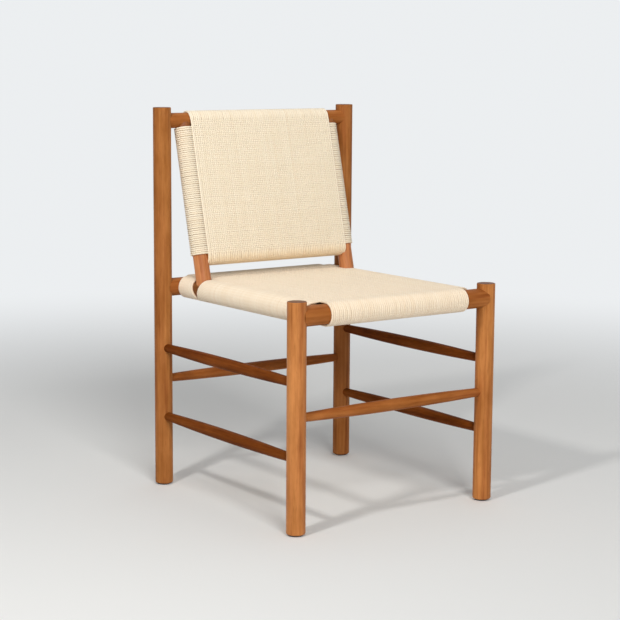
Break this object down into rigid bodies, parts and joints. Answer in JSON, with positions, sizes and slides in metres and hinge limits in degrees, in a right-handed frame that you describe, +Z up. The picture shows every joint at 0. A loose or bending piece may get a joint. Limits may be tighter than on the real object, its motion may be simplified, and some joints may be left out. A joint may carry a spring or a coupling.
{
  "type": "dining chair",
  "caption": "Armless dining chair of round turned wood with spindle stretchers, a cord-woven seat and a leaning cord-woven back between the rear posts.",
  "frame": {"origin": "on the floor, at the centre of the chair's bounding box", "axes": "+Z up, -Y towards the front of the seat, +X towards the right-hand side of the picture's front view; the chair mirrors across the plane X = 0"},
  "size_m": [0.514, 0.5385, 0.806],
  "materials": {
    "wood": "warm oiled brown wood with a fine grain, satin",
    "cord": "cream twisted paper cord, matt",
    "glide": "dark plastic, matt",
    "nail": "plain steel"
  },
  "bodies": {
    "root": {"rear_post_left": "wood", "rear_post_right": "wood", "front_leg_left": "wood", "front_leg_right": "wood", "front_seat_rail": "wood", "rear_seat_rail": "wood", "side_seat_rail_left": "wood", "side_seat_rail_right": "wood", "top_back_rail": "wood", "bottom_back_rail": "wood", "back_stile_left": "wood", "back_stile_right": "wood", "front_stretcher": "wood", "rear_stretcher": "wood", "upper_stretcher_left": "wood", "upper_stretcher_right": "wood", "lower_stretcher_left": "wood", "lower_stretcher_right": "wood", "glide_front_left": "glide", "glide_front_right": "glide", "glide_rear_left": "glide", "glide_rear_right": "glide", "glide_nails": "nail", "seat_weave": "cord", "back_weave": "cord"}
  },
  "joints": []
}
